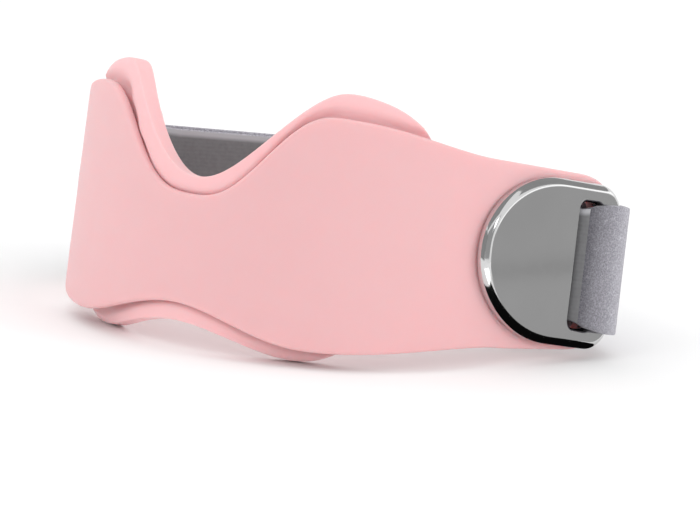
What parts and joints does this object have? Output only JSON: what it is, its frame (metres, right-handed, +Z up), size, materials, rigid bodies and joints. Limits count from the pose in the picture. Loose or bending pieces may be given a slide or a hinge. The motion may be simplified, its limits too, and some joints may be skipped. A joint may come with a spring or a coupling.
{
  "type": "patellar strap",
  "caption": "Knee strap: a notched silicone band over a larger cushion across the front, with D plates at its ends and a webbing strap that closes the loop behind the knee.",
  "frame": {"origin": "middle of the bounding box in plan, at the height of the surface the loop rests on", "axes": "+X to the right hand of a person who looks at the front, -Y out through the notch at the front of the knee, +Z up along the leg"},
  "size_m": [0.1478, 0.1346, 0.0641],
  "materials": {
    "band_silicone": "matte, soft",
    "pad_silicone": "matte, soft",
    "plate_metal": "polished plating",
    "rivet_metal": "plain plating",
    "strap_webbing": "brushed loop pile",
    "hook_tape": "fine hooks"
  },
  "bodies": {
    "root": {"outer_band": "band_silicone", "inner_pad": "pad_silicone", "buckle_plate_right": "plate_metal", "buckle_plate_left": "plate_metal", "buckle_rivet_right": "rivet_metal", "buckle_rivet_left": "rivet_metal", "strap": "strap_webbing", "hook_tab": "hook_tape"}
  },
  "joints": []
}
